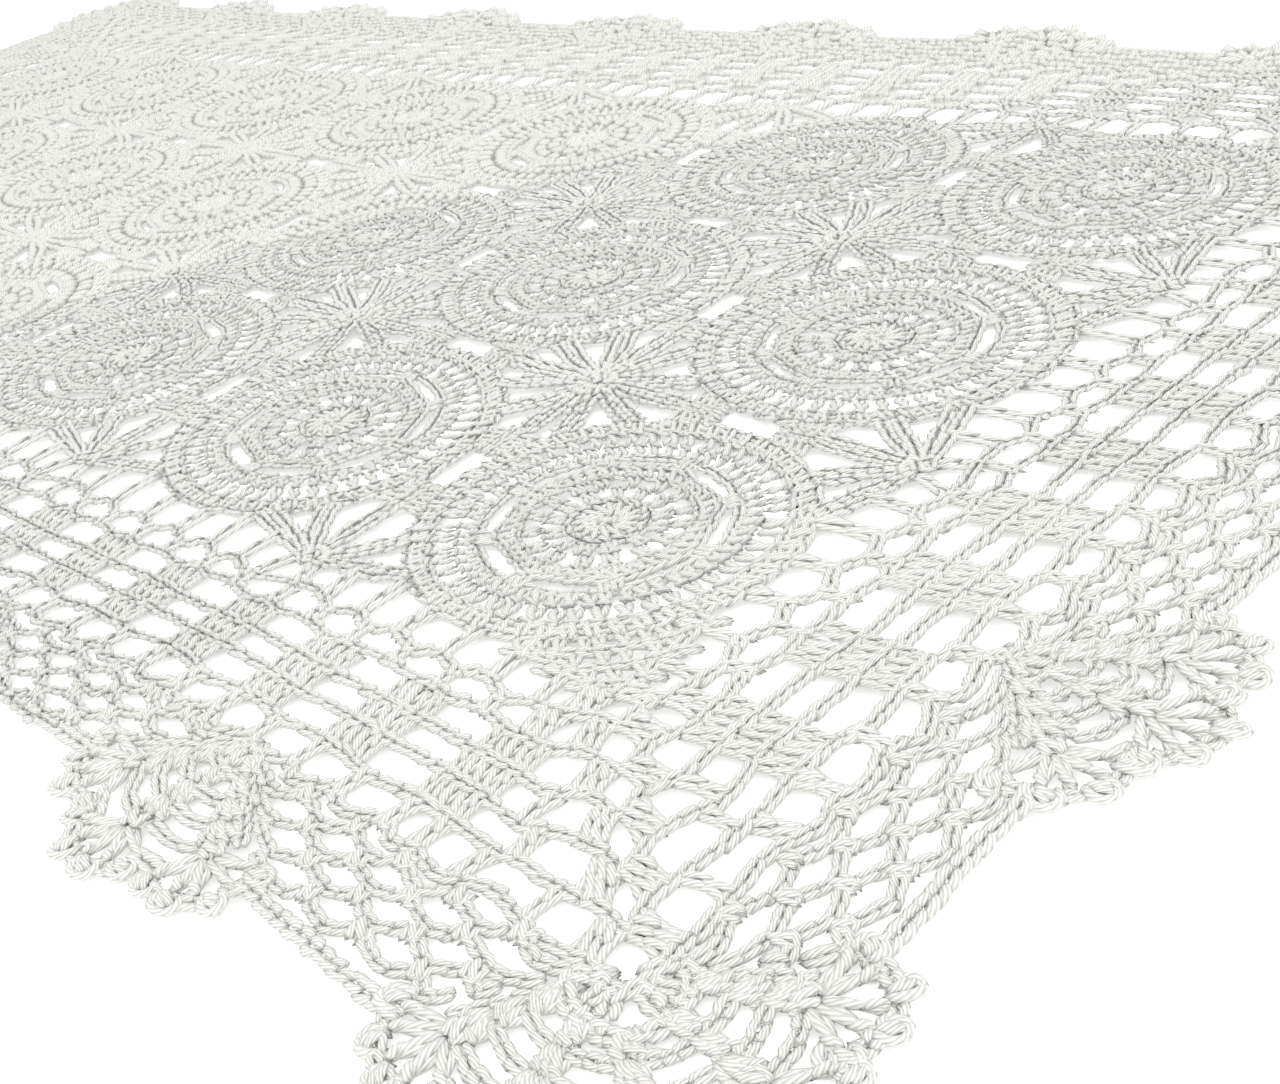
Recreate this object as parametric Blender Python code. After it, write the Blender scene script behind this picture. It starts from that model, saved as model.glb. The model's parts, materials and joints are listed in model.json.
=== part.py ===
"""A crochet table runner lying flat: round medallions, star fillers and a netted border with a fan edge.

Plan shapes are drawn in lace units, where neighbouring medallions stand one unit apart and the medallion
of column 0 and row 0 has its centre at (0, 0). lay() turns them into metres.
"""

import math

import bmesh
import bpy

# Real sizes in metres
SPACING_ACROSS = 0.082  # from one medallion to the next across the runner
SPACING_ALONG = 0.0853  # and along it, where the lace lies a little stretched
THICKNESS = 0.0024
GAP = 0.0003  # left between neighbouring pieces

COLUMNS = 3
ROWS = 7
COTTON = (0.83, 0.83, 0.81, 1.0)

# Everything below is in lace units
JOINT = GAP / SPACING_ACROSS
RIM = 0.455  # radius of a medallion
RIM_STEP = 9.0  # degrees between the points of a rim
TAB_LOW, TAB_HIGH = 0.085, 0.2  # the two stretches where neighbouring medallions are joined
NOTCH = ((0.463, 0.047), (0.451, 0.0), (0.463, -0.047))  # the eye-shaped gap between those stretches

STAR_HUB = 0.14
STAR_HUB_TURNS = (16.0, 32.0)  # where a gap of the star begins, in degrees from its straight arm
ARM = 0.03  # half the width of a straight arm

HALF_STAR_OUT = 0.47  # centre of a half star, outside the line of medallions
HALF_STAR_HUB = 0.11
HALF_STAR_GAPS = (216.0, 251.0, 289.0, 324.0)  # direction of each gap, in degrees
HALF_STAR_OPEN = 8.0  # half the angle that a gap takes at the hub
SLANT_ARM = (41.0, 34.0)  # where a slanting arm meets the medallion, in degrees on its rim
JOINED_FROM = 54.0  # from here outwards the border is joined to the rim

CELL = 1 / 7  # one mesh of the net, along the border
SLOT_LOW, SLOT_HIGH = 0.665, 0.885  # the three rows of blocks and open cells
SLOT_HALF = 0.05
CORNER_CELLS = 3  # a square of open meshes in each corner
CORNER_FIRST, CORNER_STEP = 0.58, 0.145
CORNER_CELL = 0.047
ROUNDING = 0.022  # cut off the corners of an opening

VALLEY = 1.235  # straight edge between the fans, from the line of medallions
FAN_AT = 0.985  # where the three ribs of a fan start
RIB_REACH = 0.282  # from there to the middle of the lobe at a rib's end
LOBE = 0.12
LOBE_TURN = 66.0  # degrees of its edge to each side of the rib
PICOTS, PICOT = 4, 0.026
FANS = (
    # each fan's lean, degrees between its ribs, and how much each rib outreaches the one before
    ((8.0, 36.0, 0.012), (-3.0, 38.0, 0.006), (4.0, 37.0, -0.01)),
    (
        (-5.0, 37.0, 0.008),
        (3.0, 36.0, -0.012),
        (5.0, 39.0, 0.004),
        (-2.0, 38.0, 0.01),
        (4.0, 36.0, -0.006),
        (-4.0, 37.0, 0.012),
        (1.0, 39.0, -0.008),
    ),
    ((3.0, 37.0, -0.008), (-4.0, 36.0, 0.01), (5.0, 38.0, 0.006)),
    (
        (2.0, 38.0, 0.006),
        (-3.0, 37.0, -0.01),
        (5.0, 36.0, 0.012),
        (-5.0, 38.0, 0.004),
        (4.0, 37.0, -0.008),
        (1.0, 36.0, 0.01),
        (0.5, 41.0, -0.027),
    ),
)
CORNER_FAN_AT = 0.975
CORNER_RIBS = ((-27.0, 0.27), (9.0, 0.285), (45.0, 0.29), (81.0, 0.285), (117.0, 0.27))

# How the lace is pulled out of an even grid by hand: where, and by how many millimetres
PULLS = (
    # column, row, across, along
    (0.0, 0.0, -1.0, -1.3),
    (1.0, 0.0, -0.5, 2.3),
    (2.0, 0.0, 4.0, -2.0),
    (0.0, 1.0, 1.5, 0.4),
    (1.0, 1.0, 1.0, 2.0),
    (2.0, 1.2, -2.5, -2.2),
    (0.0, 2.0, 1.2, 1.0),
    (1.0, 2.0, 0.3, 3.0),
    (2.0, 2.2, -1.0, -1.0),
    (0.0, 3.5, -1.4, 1.2),
    (1.0, 4.0, 1.5, -1.4),
    (2.0, 4.5, -1.2, 1.6),
    (0.0, 5.2, 1.2, -1.5),
    (2.0, 6.0, 1.6, 1.2),
    (-1.2, 0.4, 3.5, 0.0),
    (3.2, 1.0, 3.0, 0.0),
    (3.2, 5.0, -2.5, 0.5),
    (1.0, 7.2, 0.0, 2.0),
)
PULL_SPREAD = 0.45

# Each side of the border: its first corner, the way it runs and the way out of the lace
RIGHT, FAR = COLUMNS - 1, ROWS - 1
SIDES = (
    # corner, run, out, medallions
    ((0, 0), (1, 0), (0, -1), COLUMNS),
    ((RIGHT, 0), (0, 1), (1, 0), ROWS),
    ((RIGHT, FAR), (-1, 0), (0, 1), COLUMNS),
    ((0, FAR), (0, -1), (-1, 0), ROWS),
)


def pulled(point):
    """A point of the plan in metres, where the hand-made lace has it."""
    u, v = point
    x, y = u * SPACING_ACROSS, v * SPACING_ALONG
    for column, row, across, along in PULLS:
        share = math.exp(-((u - column) ** 2 + (v - row) ** 2) / (2 * PULL_SPREAD**2))
        x += share * across / 1000
        y += share * along / 1000
    return x, y


def polar(centre, radius, degrees):
    turn = math.radians(degrees)
    return centre[0] + radius * math.cos(turn), centre[1] + radius * math.sin(turn)


def turned(point, quarters):
    """The point after so many quarter turns about (0, 0)."""
    x, y = point
    for _ in range(quarters % 4):
        x, y = -y, x
    return x, y


def moved(points, centre):
    return [(x + centre[0], y + centre[1]) for x, y in points]


def on_side(side, along, out):
    """A point of the border from its place along one side and its distance out of the lace."""
    corner, run, away, _ = side
    return corner[0] + along * run[0] + out * away[0], corner[1] + along * run[1] + out * away[1]


def joined_side():
    """The edge towards a neighbour: two joined stretches with the notch between them."""
    seam = 0.5 - JOINT / 2
    upper = [(seam, TAB_HIGH), (seam, TAB_LOW)]
    lower = [(x, -y) for x, y in reversed(upper)]
    return list(reversed(upper + list(NOTCH) + lower))


def rim_between(first, last, radius=RIM):
    steps = round(abs(last - first) / RIM_STEP)
    return [polar((0, 0), radius, first + (last - first) * k / steps) for k in range(steps + 1)]


def shelf():
    """Where the rim starts beside a joined stretch."""
    return math.sqrt(RIM**2 - TAB_HIGH**2), TAB_HIGH


def medallion(column, row):
    neighbours = (column < RIGHT, row < FAR, column > 0, row > 0)
    outline = []
    for quarter, joined in enumerate(neighbours):
        if joined:
            x, y = shelf()
            side = [(x, -y), *joined_side(), (x, y)]
        else:
            side = rim_between(-27, 27)
        diagonal = rim_between(36, 54)
        outline += [turned(point, quarter) for point in side + diagonal]
    return moved(outline, (column, row))


def star(column, row):
    """A filler between four medallions, with a straight arm to each seam and a broad one to each medallion."""
    tip = 0.5 - TAB_HIGH - JOINT
    quarter = [(tip, -ARM), (tip, ARM)]
    quarter += [polar((0, 0), STAR_HUB, turn) for turn in STAR_HUB_TURNS]
    quarter += [(0.5 - x, 0.5 - y) for x, y in rim_between(54, 36, RIM + JOINT)]
    quarter += [polar((0, 0), STAR_HUB, 90 - turn) for turn in reversed(STAR_HUB_TURNS)]
    outline = [turned(point, k) for k in range(4) for point in quarter]
    return moved(outline, (column + 0.5, row + 0.5))


def half_star(side, number):
    """The five arms that reach from the border in between two medallions at the edge."""
    before, after = (number, 0), (number + 1, 0)
    hub = (number + 0.5, HALF_STAR_OUT)
    reach = RIM + JOINT
    rise = TAB_HIGH + JOINT
    tips = (
        [polar(before, reach, turn) for turn in SLANT_ARM],
        [(hub[0] - ARM, rise), (hub[0] + ARM, rise)],
        [polar(after, reach, 180 - turn) for turn in reversed(SLANT_ARM)],
    )
    outline = []
    for k, direction in enumerate(HALF_STAR_GAPS):
        outline.append(polar(hub, HALF_STAR_HUB, direction - HALF_STAR_OPEN))
        outline.append(polar(hub, HALF_STAR_HUB, direction + HALF_STAR_OPEN))
        if k < len(tips):
            outline += tips[k]
    return [on_side(side, *point) for point in outline]


def border_inside():
    outline = []
    for side in SIDES:
        count = side[3]
        for number in range(count):
            first = 135.0 if number == 0 else 180 - JOINED_FROM
            last = JOINED_FROM if number < count - 1 else 45 + RIM_STEP
            rim = rim_between(first, last, RIM + JOINT)
            outline += [on_side(side, number + x, y) for x, y in rim]
            if number < count - 1:
                outline += half_star(side, number)
    return outline


def lobe_foot(apex, rib):
    """Where the hub of a fan's outer lobe is along its side, and half the lobe's width at the straight edge."""
    hub = polar(apex, rib[1], rib[0])
    return hub[0], math.sqrt(LOBE**2 - (VALLEY - hub[1]) ** 2)


def lobes(apex, ribs, last):
    """The edge of a fan: an arc of picots round the end of each rib, as far as the arc beside it."""
    heights = (0.0, 0.7, 1.0, 0.7)
    points = []
    for k in reversed(range(len(ribs))):
        turn, reach = ribs[k]
        low = (turn + ribs[k - 1][0]) / 2 if k else turn - 90
        high = (turn + ribs[k + 1][0]) / 2 if k + 1 < len(ribs) else turn + 90
        for step in range(4 * PICOTS + 1):
            swing = turn + LOBE_TURN * (1 - step / (2 * PICOTS))
            along, out = polar(polar(apex, reach, turn), LOBE + PICOT * heights[step % 4], swing)
            seen = math.degrees(math.atan2(out - apex[1], along - apex[0]))
            if low < seen < high and max(along - last, out) > VALLEY + 0.004:
                points.append((along, out))
    return points


def side_fan(number, fan, last):
    lean, apart, skew = fan
    ribs = [(90 + lean + k * apart, RIB_REACH + k * skew) for k in (-1, 0, 1)]
    apex = (number, FAN_AT)
    first, start = lobe_foot(apex, ribs[-1])
    final, end = lobe_foot(apex, ribs[0])
    return [(first - start, VALLEY), *lobes(apex, ribs, last + 9), (final + end, VALLEY)]


def corner_fan(last):
    apex = (last + CORNER_FAN_AT, CORNER_FAN_AT)
    first, start = lobe_foot(apex, CORNER_RIBS[-1])
    foot = first - start
    return [(foot, VALLEY), *lobes(apex, CORNER_RIBS, last), (last + VALLEY, foot - last)]


def border_outside():
    outline = []
    for side, fans in zip(SIDES, FANS):
        last = side[3] - 1
        for number, fan in enumerate(fans):
            outline += [on_side(side, *point) for point in side_fan(number, fan, last)]
        outline += [on_side(side, *point) for point in corner_fan(last)]
    return outline


def opening(along, out, half_along, half_out):
    """A mesh of the net, with its corners cut off."""
    cut = ROUNDING
    corners = (
        (half_along, half_out - cut),
        (half_along - cut, half_out),
        (cut - half_along, half_out),
        (-half_along, half_out - cut),
    )
    return moved([*corners, *((-x, -y) for x, y in corners)], (along, out))


def border_openings():
    openings = []
    middle = (SLOT_LOW + SLOT_HIGH) / 2
    for side in SIDES:
        last = side[3] - 1
        pairs = round(last / CELL / 2)
        shapes = [
            opening(2 * k * CELL, middle, SLOT_HALF, middle - SLOT_LOW) for k in range(-1, pairs + 2)
        ]
        steps = [CORNER_FIRST + k * CORNER_STEP for k in range(CORNER_CELLS)]
        shapes += [opening(last + a, b, CORNER_CELL, CORNER_CELL) for a in steps for b in steps]
        openings += [[on_side(side, *point) for point in shape] for shape in shapes]
    return openings


def cotton():
    material = bpy.data.materials.new("white cotton yarn")
    material.use_nodes = True
    shader = material.node_tree.nodes["Principled BSDF"]
    shader.inputs["Base Color"].default_value = COTTON
    shader.inputs["Roughness"].default_value = 0.9
    shader.inputs["Metallic"].default_value = 0.0
    return material


def plate(name, outlines, centre):
    """A flat piece of lace: its outline and its openings, filled and raised by the thickness."""
    shape = bmesh.new()
    edges = []
    for outline in outlines:
        spots = [pulled(point) for point in outline]
        corners = [shape.verts.new((x - centre[0], y - centre[1], 0)) for x, y in spots]
        edges += [shape.edges.new(pair) for pair in zip(corners, corners[1:] + corners[:1])]
    filled = bmesh.ops.triangle_fill(shape, edges=edges, use_beauty=True)
    faces = [part for part in filled["geom"] if isinstance(part, bmesh.types.BMFace)]
    raised = bmesh.ops.extrude_face_region(shape, geom=faces)
    top = [part for part in raised["geom"] if isinstance(part, bmesh.types.BMVert)]
    bmesh.ops.translate(shape, verts=top, vec=(0, 0, THICKNESS))
    bmesh.ops.recalc_face_normals(shape, faces=shape.faces)

    mesh = bpy.data.meshes.new(name)
    shape.to_mesh(mesh)
    shape.free()
    mesh.materials.append(cotton())
    piece = bpy.data.objects.new(name, mesh)
    bpy.context.scene.collection.objects.link(piece)
    return piece


def build():
    for old in list(bpy.data.objects):
        bpy.data.objects.remove(old)

    edge = border_outside()
    spots = [pulled(point) for point in edge]
    centre = [(min(values) + max(values)) / 2 for values in zip(*spots)]

    plate("border", [edge, border_inside(), *border_openings()], centre)
    for row in range(ROWS):
        for column in range(COLUMNS):
            plate(f"medallion_{row}_{column}", [medallion(column, row)], centre)
            if row < FAR and column < RIGHT:
                plate(f"star_{row}_{column}", [star(column, row)], centre)


build()
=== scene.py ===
import json
import math

import bmesh
import bpy
import numpy as np
from mathutils import Matrix, Vector

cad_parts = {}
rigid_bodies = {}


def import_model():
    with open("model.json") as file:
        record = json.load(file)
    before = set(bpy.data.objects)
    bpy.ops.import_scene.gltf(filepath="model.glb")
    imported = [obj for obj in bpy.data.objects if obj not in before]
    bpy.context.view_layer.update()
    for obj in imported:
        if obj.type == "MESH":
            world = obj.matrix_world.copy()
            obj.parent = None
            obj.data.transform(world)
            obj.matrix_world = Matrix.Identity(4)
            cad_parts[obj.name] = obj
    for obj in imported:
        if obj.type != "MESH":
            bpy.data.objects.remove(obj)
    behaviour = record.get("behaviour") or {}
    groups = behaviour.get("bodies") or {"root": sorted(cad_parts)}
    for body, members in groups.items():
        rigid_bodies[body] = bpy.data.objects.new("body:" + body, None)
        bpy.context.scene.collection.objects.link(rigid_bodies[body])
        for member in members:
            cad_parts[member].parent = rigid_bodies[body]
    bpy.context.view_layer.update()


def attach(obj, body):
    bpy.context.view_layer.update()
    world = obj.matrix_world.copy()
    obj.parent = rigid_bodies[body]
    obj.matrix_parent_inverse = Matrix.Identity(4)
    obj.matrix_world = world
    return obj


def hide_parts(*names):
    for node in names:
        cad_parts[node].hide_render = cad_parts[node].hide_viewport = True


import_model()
random = np.random.default_rng(7)
perMetre = 1000  # stitches are measured in millimetres

# The lace's plan. Points are in lace units, with neighbouring medallions one unit apart and the first
# medallion's middle at (0, 0); lay() turns them into metres.
plan = {
    "across": 0.082,
    "along": 0.0853,
    "columns": 3,
    "rows": 7,
    "middle": (0.083319, 0.256791),
    "spread": 0.45,  # how far round its place a pull reaches
    "pulls": (
        # column, row, millimetres across, millimetres along
        (0.0, 0.0, -1.0, -1.3),
        (1.0, 0.0, -0.5, 2.3),
        (2.0, 0.0, 4.0, -2.0),
        (0.0, 1.0, 1.5, 0.4),
        (1.0, 1.0, 1.0, 2.0),
        (2.0, 1.2, -2.5, -2.2),
        (0.0, 2.0, 1.2, 1.0),
        (1.0, 2.0, 0.3, 3.0),
        (2.0, 2.2, -1.0, -1.0),
        (0.0, 3.5, -1.4, 1.2),
        (1.0, 4.0, 1.5, -1.4),
        (2.0, 4.5, -1.2, 1.6),
        (0.0, 5.2, 1.2, -1.5),
        (2.0, 6.0, 1.6, 1.2),
        (-1.2, 0.4, 3.5, 0.0),
        (3.2, 1.0, 3.0, 0.0),
        (3.2, 5.0, -2.5, 0.5),
        (1.0, 7.2, 0.0, 2.0),
    ),
    "swells": (
        # metres high, then for each of two waves its radians to the metre across and along, and its start
        (0.00045, (31.0, 9.0, 1.1), (-8.0, 17.0, 0.4)),
        (0.00018, (83.0, -37.0, 0.0), (29.0, 71.0, 2.0)),
    ),
}
lastColumn, lastRow = plan["columns"] - 1, plan["rows"] - 1

# The photograph's view, close over the near left corner
view = {
    "place": (-0.25692, -0.46621, 0.14995),
    "right": (0.71962, -0.66568, -0.19752),
    "up": (0.45953, 0.24331, 0.85418),
    "lens": 48.185,
    "shift": 0.09,
    "nearest": 0.01,
}


def lay(points):
    points = np.asarray(points, float)
    spots = points * (plan["across"], plan["along"])
    for column, row, across, along in plan["pulls"]:
        away = ((points - (column, row)) ** 2).sum(axis=-1, keepdims=True)
        pull = np.array((across, along)) / perMetre
        spots = spots + np.exp(-away / (2 * plan["spread"] ** 2)) * pull
    return spots - plan["middle"]


def swell(spots):
    # the lace doesn't lie quite flat: how far each place stands off the floor
    x, y = spots[..., 0], spots[..., 1]
    rise = 0
    for high, *waves in plan["swells"]:
        first, second = (np.sin(across * x + along * y + start) for across, along, start in waves)
        rise = rise + high * (1 + first * second)
    return rise


# Stitches, in millimetres, each running along +X from the origin. A strand is a tapered tube: its radius,
# then the points of its line, along the stitch, across it and up. Far from the view a stitch is one plain
# tube. Buried is how far up a strand from its start, and back from its end, it lies under its neighbours,
# as shares of its way; there its colour is darkened with painted shade.
chain = {
    "length": 2.6,
    "buried": (0.34, 0.0),
    "strands": (
        (0.72, (-1.3, 0.2, -0.35), (-0.1, 0.55, -0.15), (1.1, 0.8, 0.1), (2.4, 0.74, 0.3), (3.5, 0.1, 0.3)),
        (0.72, (-1.3, -0.2, -0.35), (-0.1, -0.55, -0.15), (1.1, -0.8, 0.1), (2.4, -0.74, 0.3),
         (3.5, -0.1, 0.3)),
    ),
    "plain": ((1.45, (-0.9, 0.0, -0.2), (1.3, 0.0, 0.1), (3.5, 0.0, 0.2)),),
}
post = {
    "length": 6.5,
    "buried": (0.24, 0.2),
    "strands": (
        (0.72, (-0.4, -0.5, -0.2), (1.2, -0.72, 0.02), (3.2, -0.4, 0.2), (5.0, 0.35, 0.15),
         (6.9, 0.78, -0.05)),
        (0.72, (-0.4, 0.5, -0.2), (1.2, 0.72, -0.05), (3.2, 0.5, -0.2), (5.0, -0.3, -0.1),
         (6.9, -0.78, -0.05)),
        (0.6, (4.8, -1.4, -0.2), (5.6, -0.7, 0.4), (6.1, 0.4, 0.5), (6.3, 1.4, -0.1)),
    ),
    "plain": ((1.45, (-1.3, 0.0, -0.2), (3.2, 0.0, 0.2), (7.8, 0.0, 0.0)),),
}
# A post of a fan, thicker and drawn up more loosely
leaf = {
    "length": 6.0,
    "buried": (0.24, 0.15),
    "strands": (
        (0.9, (-0.5, -0.45, -0.25), (1.0, -0.75, 0.1), (3.0, -0.45, 0.3), (5.0, 0.35, 0.2), (6.5, 0.7, -0.1)),
        (0.9, (-0.5, 0.45, -0.25), (1.0, 0.75, -0.05), (3.0, 0.5, -0.1), (5.0, -0.35, 0.0),
         (6.5, -0.75, -0.1)),
        (0.66, (3.5, -1.2, 0.0), (4.3, -0.5, 0.7), (5.0, 0.5, 0.75), (5.6, 1.3, 0.1)),
    ),
    "plain": ((1.7, (-1.0, 0.0, -0.2), (3.0, 0.0, 0.2), (7.0, 0.0, 0.0)),),
}
# A post of the open net, which spreads into the lines at both ends
pillar = {
    "length": 6.5,
    "buried": (0.2, 0.2),
    "strands": (
        (0.85, (-0.3, -2.0, -0.3), (0.9, -1.2, 0.0), (3.2, -0.85, 0.1), (5.6, -1.2, 0.0), (6.8, -2.0, -0.2)),
        (0.85, (-0.3, 2.0, -0.3), (0.9, 1.2, 0.0), (3.2, 0.85, 0.1), (5.6, 1.2, 0.0), (6.8, 2.0, -0.2)),
        (0.72, (-0.5, -0.9, 0.0), (0.8, -0.4, 0.5), (2.2, 0.3, 0.65), (3.7, 0.95, 0.25)),
        (0.72, (2.4, -0.95, 0.2), (3.8, -0.4, 0.6), (5.3, 0.3, 0.6), (6.9, 0.9, 0.0)),
    ),
    "plain": ((1.7, (-1.2, 0.0, -0.2), (3.2, 0.0, 0.2), (7.7, 0.0, 0.0)),),
}
# The stitch that holds one chain to the middle of another
knot = {
    "length": 3.0,
    "buried": (0.2, 0.2),
    "strands": (
        (0.74, (-0.9, -1.4, -0.2), (0.2, -0.7, 0.45), (1.5, 0.2, 0.6), (2.9, 1.2, 0.0)),
        (0.7, (-0.9, 1.4, -0.2), (0.4, 1.0, 0.3), (1.6, 1.1, 0.3), (3.6, 0.4, 0.0)),
        (0.7, (-0.2, -1.5, -0.1), (1.2, -1.1, 0.35), (2.4, -0.8, 0.3), (3.6, -0.6, 0.0)),
    ),
    "plain": ((1.7, (-0.8, 0.0, -0.2), (1.4, 0.0, 0.3), (3.6, 0.0, 0.0)),),
}
# A small loop at the edge, drawn up into a knob
picot = {
    "length": 4.4,
    "buried": (0.2, 0.2),
    "curl": 3,  # more rings, because its strands are more curled
    "strands": (
        (0.88, (-0.6, -0.8, 0.0), (1.0, -1.5, 0.2), (2.7, -1.8, 0.3), (4.1, -1.1, 0.3), (4.5, 0.3, 0.1),
         (3.6, 1.2, 0.0)),
        (0.88, (-0.6, 0.8, 0.0), (1.0, 1.5, 0.2), (2.7, 1.8, 0.3), (4.1, 1.1, 0.3), (4.4, -0.2, 0.2),
         (3.5, -1.1, 0.0)),
        (0.74, (0.1, -1.0, 0.3), (1.4, -0.5, 0.75), (2.4, 0.4, 0.75), (3.2, 1.3, 0.3)),
        (0.68, (1.4, -1.2, 0.3), (2.6, -0.6, 0.75), (3.5, 0.1, 0.7), (4.0, 0.7, 0.3)),
    ),
    "plain": ((2.3, (-0.8, 0.0, 0.0), (2.2, 0.0, 0.4), (5.0, 0.0, 0.0)),),
}
stitches = {"chain": chain, "post": post, "leaf": leaf, "pillar": pillar, "knot": knot, "picot": picot}
yarn = {
    "flatness": 0.74,  # height of a strand to its width
    "taper": 2.2,  # more of it makes the ends blunter
    "seam": 0.25,  # the share of a turn, from level, at which a tube's edges meet
    "merge": 1e-4,  # millimetres within which corners become one
    "levels": (
        # metres from the view, form, rings along a strand, sides round it, kinds of each stitch, unevenness
        # and how dark the painted shade on its buried ends is
        (0.30, "strands", 4, 5, 4, 0.12, 1.0),
        (0.50, "strands", 2, 4, 2, 0.07, 0.38),
        (9.0, "plain", 2, 4, 1, 0.0, 0.38),
    ),
}


def through(knots, shares):
    # points on a Catmull-Rom curve through the knots, at these shares of its way
    knots = np.asarray(knots, float)
    knots = np.vstack([2 * knots[0] - knots[1], knots, 2 * knots[-1] - knots[-2]])
    places = np.clip(np.asarray(shares), 0, 1 - 1e-9) * (len(knots) - 3)
    first = places.astype(int)
    t = (places - first)[:, None]
    a, b, c, d = (knots[first + k] for k in range(4))
    return 0.5 * (2 * b + (c - a) * t + (2 * a - 5 * b + 4 * c - d) * t**2 + (3 * b - a - 3 * c + d) * t**3)


def walkedTo(spots):
    # how far along a line each of its points lies
    return np.concatenate([[0], np.cumsum(np.linalg.norm(np.diff(spots, axis=0), axis=1))])


def addStrand(shape, line, radius, rings, sides, buried, plies, crevice):
    # a grid one unit square, bent into a tube along the line
    steps = np.linspace(0, 1, rings + 2)
    spots = through(line, steps)
    ways = np.gradient(spots, axis=0)
    walked = walkedTo(spots)
    for corner in bmesh.ops.create_grid(shape, x_segments=rings + 1, y_segments=sides, size=0.5)["verts"]:
        k = round((corner.co.x + 0.5) * (rings + 1))
        turn = (corner.co.y + 0.5 + yarn["seam"]) * math.tau
        way = Vector(ways[k]).normalized()
        level = Vector((0, 0, 1)).cross(way).normalized()
        up = way.cross(level) * yarn["flatness"]
        full = radius * min(1.0, yarn["taper"] * math.sin(math.pi * steps[k]))
        fromEnds = zip((steps[k], 1 - steps[k]), buried)
        corner[plies] = (math.cos(turn), math.sin(turn), walked[k])
        # painted shade: 1 at a strand's ends, where it lies under its neighbours, falling to 0 up the strand
        corner[crevice] = max(0, *(1 - share / reach for share, reach in fromEnds if reach))
        corner.co = Vector(spots[k]) + full * (math.cos(turn) * level + math.sin(turn) * up)


def stitchKind(stitch, form, rings, sides, wobble, shadeDepth):
    # one stitch as arrays: corners in metres, triangles, and for each corner its turn round the strand, its
    # way along it and how much painted shade darkens it where it lies under other strands
    shape = bmesh.new()
    plies = shape.verts.layers.float_vector.new("plies")
    crevice = shape.verts.layers.float.new("crevice")
    rings += stitch.get("curl", 0)
    for radius, *line in stitch[form]:
        bent = np.array(line) + wobble * random.uniform(-1, 1, (len(line), 3))
        addStrand(shape, bent, radius, rings, sides, stitch["buried"], plies, crevice)
    bmesh.ops.remove_doubles(shape, verts=shape.verts, dist=yarn["merge"])
    bmesh.ops.recalc_face_normals(shape, faces=shape.faces)
    bmesh.ops.triangulate(shape, faces=shape.faces)
    shape.verts.index_update()
    corners = np.array([corner.co for corner in shape.verts]) / perMetre
    triangles = np.array([[corner.index for corner in face.verts] for face in shape.faces])
    turned = np.array([(*corner[plies], shadeDepth * corner[crevice]) for corner in shape.verts])
    shape.free()
    return corners, triangles, turned


kinds = {}
for kind, stitch in stitches.items():
    kinds[kind] = [
        [stitchKind(stitch, form, rings, sides, wobble, shadeDepth) for _ in range(count)]
        for _, form, rings, sides, count, wobble, shadeDepth in yarn["levels"]
    ]
    print(f"scene: {kind} stitches of", [len(level[0][1]) for level in kinds[kind]], "triangles")


# How stitches are laid along a row
laid = {
    "steps": 8,  # points worked out between one knot of a line and the next
    "tallPost": 8.4,  # millimetres, past which a post is worked as two
    "height": 0.00122,  # metres of a stitch's middle over the floor; the two shakes after it are metres too
    "shake": 0.00016,
    "heightShake": 0.00006,
    "widthShake": 0.07,
    "roll": 0.16,  # radians
}


class Lace:
    # the stitches of one piece: where each starts and ends in metres, its height in millimetres and its width
    def __init__(self, place):
        self.place = place
        self.rows = {kind: [] for kind in kinds}

    def cord(self, points, width, lift):
        points = np.asarray(points, float)
        shares = np.linspace(0, 1, laid["steps"] * (len(points) - 1) + 1)
        line = lay(self.place(through(points, shares)))
        walked = walkedTo(line)
        count = max(1, round(walked[-1] / (chain["length"] / perMetre)))
        at = np.linspace(0, walked[-1], count + 1)
        spots = np.column_stack([np.interp(at, walked, line[:, 0]), np.interp(at, walked, line[:, 1])])
        self.keep("chain", spots[:-1], spots[1:], width, lift)

    def posts(self, feet, tops, width, lift):
        feet, tops = lay(self.place(feet)), lay(self.place(tops))
        tall = np.linalg.norm(tops - feet, axis=1) > laid["tallPost"] / perMetre
        middles = (feet + tops) / 2
        self.keep("post", feet[~tall], tops[~tall], width, lift)
        self.keep("post", feet[tall], middles[tall], width, lift)
        self.keep("post", middles[tall], tops[tall], width, lift)

    def single(self, kind, feet, tops, width, lift=0.0):
        self.keep(kind, lay(self.place(feet)), lay(self.place(tops)), width, lift)

    def keep(self, kind, starts, ends, width, lift):
        rest = np.tile((lift, width), (len(starts), 1))
        self.rows[kind].append(np.hstack([starts, ends, rest]))


def frames(kind, rows):
    # start of each stitch, its three directions with their sizes, and its distance from the view
    count = len(rows)
    shakes = random.normal(0, laid["shake"], (2, count, 2))
    starts, ends = rows[:, :4].reshape(count, 2, 2).transpose(1, 0, 2) + shakes
    heights = laid["height"] + rows[:, 4] / perMetre + random.normal(0, laid["heightShake"], count)
    start = np.column_stack([starts, heights + swell(starts)])
    end = np.column_stack([ends, heights + swell(ends)])
    length = np.linalg.norm(end - start, axis=1, keepdims=True)
    way = (end - start) / length
    level = np.column_stack([-way[:, 1], way[:, 0], np.zeros(count)])
    level /= np.linalg.norm(level, axis=1, keepdims=True)
    up = np.cross(way, level)
    roll = random.normal(0, laid["roll"], (count, 1))
    side = level * np.cos(roll) + up * np.sin(roll)
    over = up * np.cos(roll) - level * np.sin(roll)
    wide = rows[:, 5:6] * (1 + random.normal(0, laid["widthShake"], (count, 1)))
    sizes = np.stack([way * length / (stitches[kind]["length"] / perMetre), side * wide, over], axis=1)
    return start, sizes, np.linalg.norm((start + end) / 2 - np.array(view["place"]), axis=1)


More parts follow.
